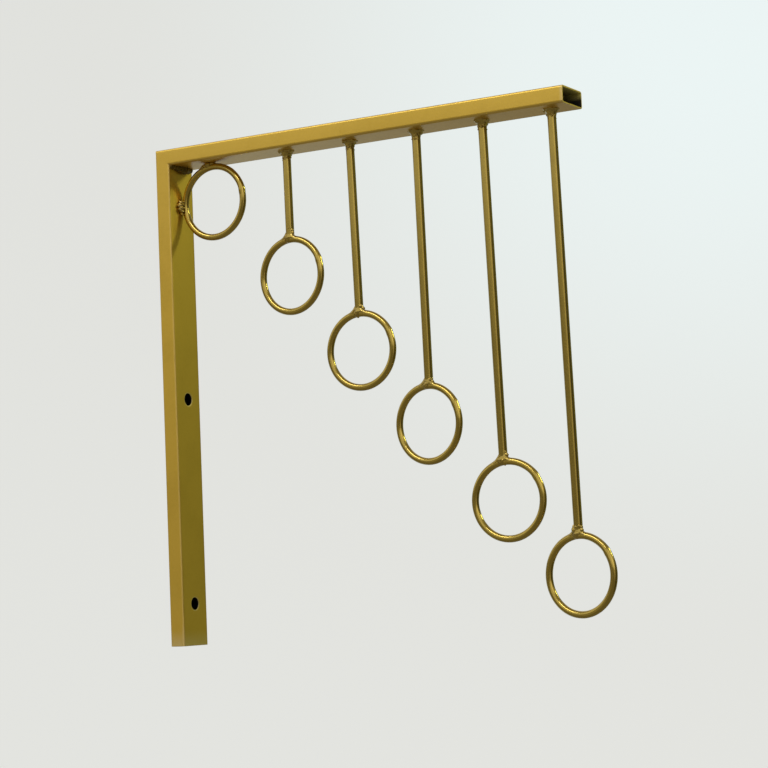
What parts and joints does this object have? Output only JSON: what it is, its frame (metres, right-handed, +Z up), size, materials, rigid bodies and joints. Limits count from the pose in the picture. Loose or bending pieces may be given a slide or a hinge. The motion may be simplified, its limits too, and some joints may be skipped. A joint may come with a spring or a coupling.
{
  "type": "waterfall display bracket",
  "caption": "Wall-mounted L bracket of flat steel tube with round rings welded on drop rods that step down from the wall to the arm's end.",
  "frame": {"origin": "on the wall plane, midway between the post's two screw holes", "axes": "+X out from the wall along the arm, +Z up along the post, +Y across the tube's wide side"},
  "size_m": [0.2897, 0.025, 0.3],
  "materials": {
    "tube_paint": "satin gold metallic paint on flat tube",
    "rod_paint": "glossy gold metallic paint on round bar and wire",
    "weld_paint": "gold metallic paint over rough weld beads"
  },
  "bodies": {
    "root": {"wall_post": "tube_paint", "display_arm": "tube_paint", "corner_weld": "weld_paint", "drop_rod_2": "rod_paint", "drop_rod_3": "rod_paint", "drop_rod_4": "rod_paint", "drop_rod_5": "rod_paint", "drop_rod_6": "rod_paint", "hanger_ring_1": "rod_paint", "hanger_ring_2": "rod_paint", "hanger_ring_3": "rod_paint", "hanger_ring_4": "rod_paint", "hanger_ring_5": "rod_paint", "hanger_ring_6": "rod_paint", "arm_weld_1": "weld_paint", "arm_weld_2": "weld_paint", "arm_weld_3": "weld_paint", "arm_weld_4": "weld_paint", "arm_weld_5": "weld_paint", "arm_weld_6": "weld_paint", "post_weld_1": "weld_paint", "ring_weld_2": "weld_paint", "ring_weld_3": "weld_paint", "ring_weld_4": "weld_paint", "ring_weld_5": "weld_paint", "ring_weld_6": "weld_paint"}
  },
  "joints": []
}
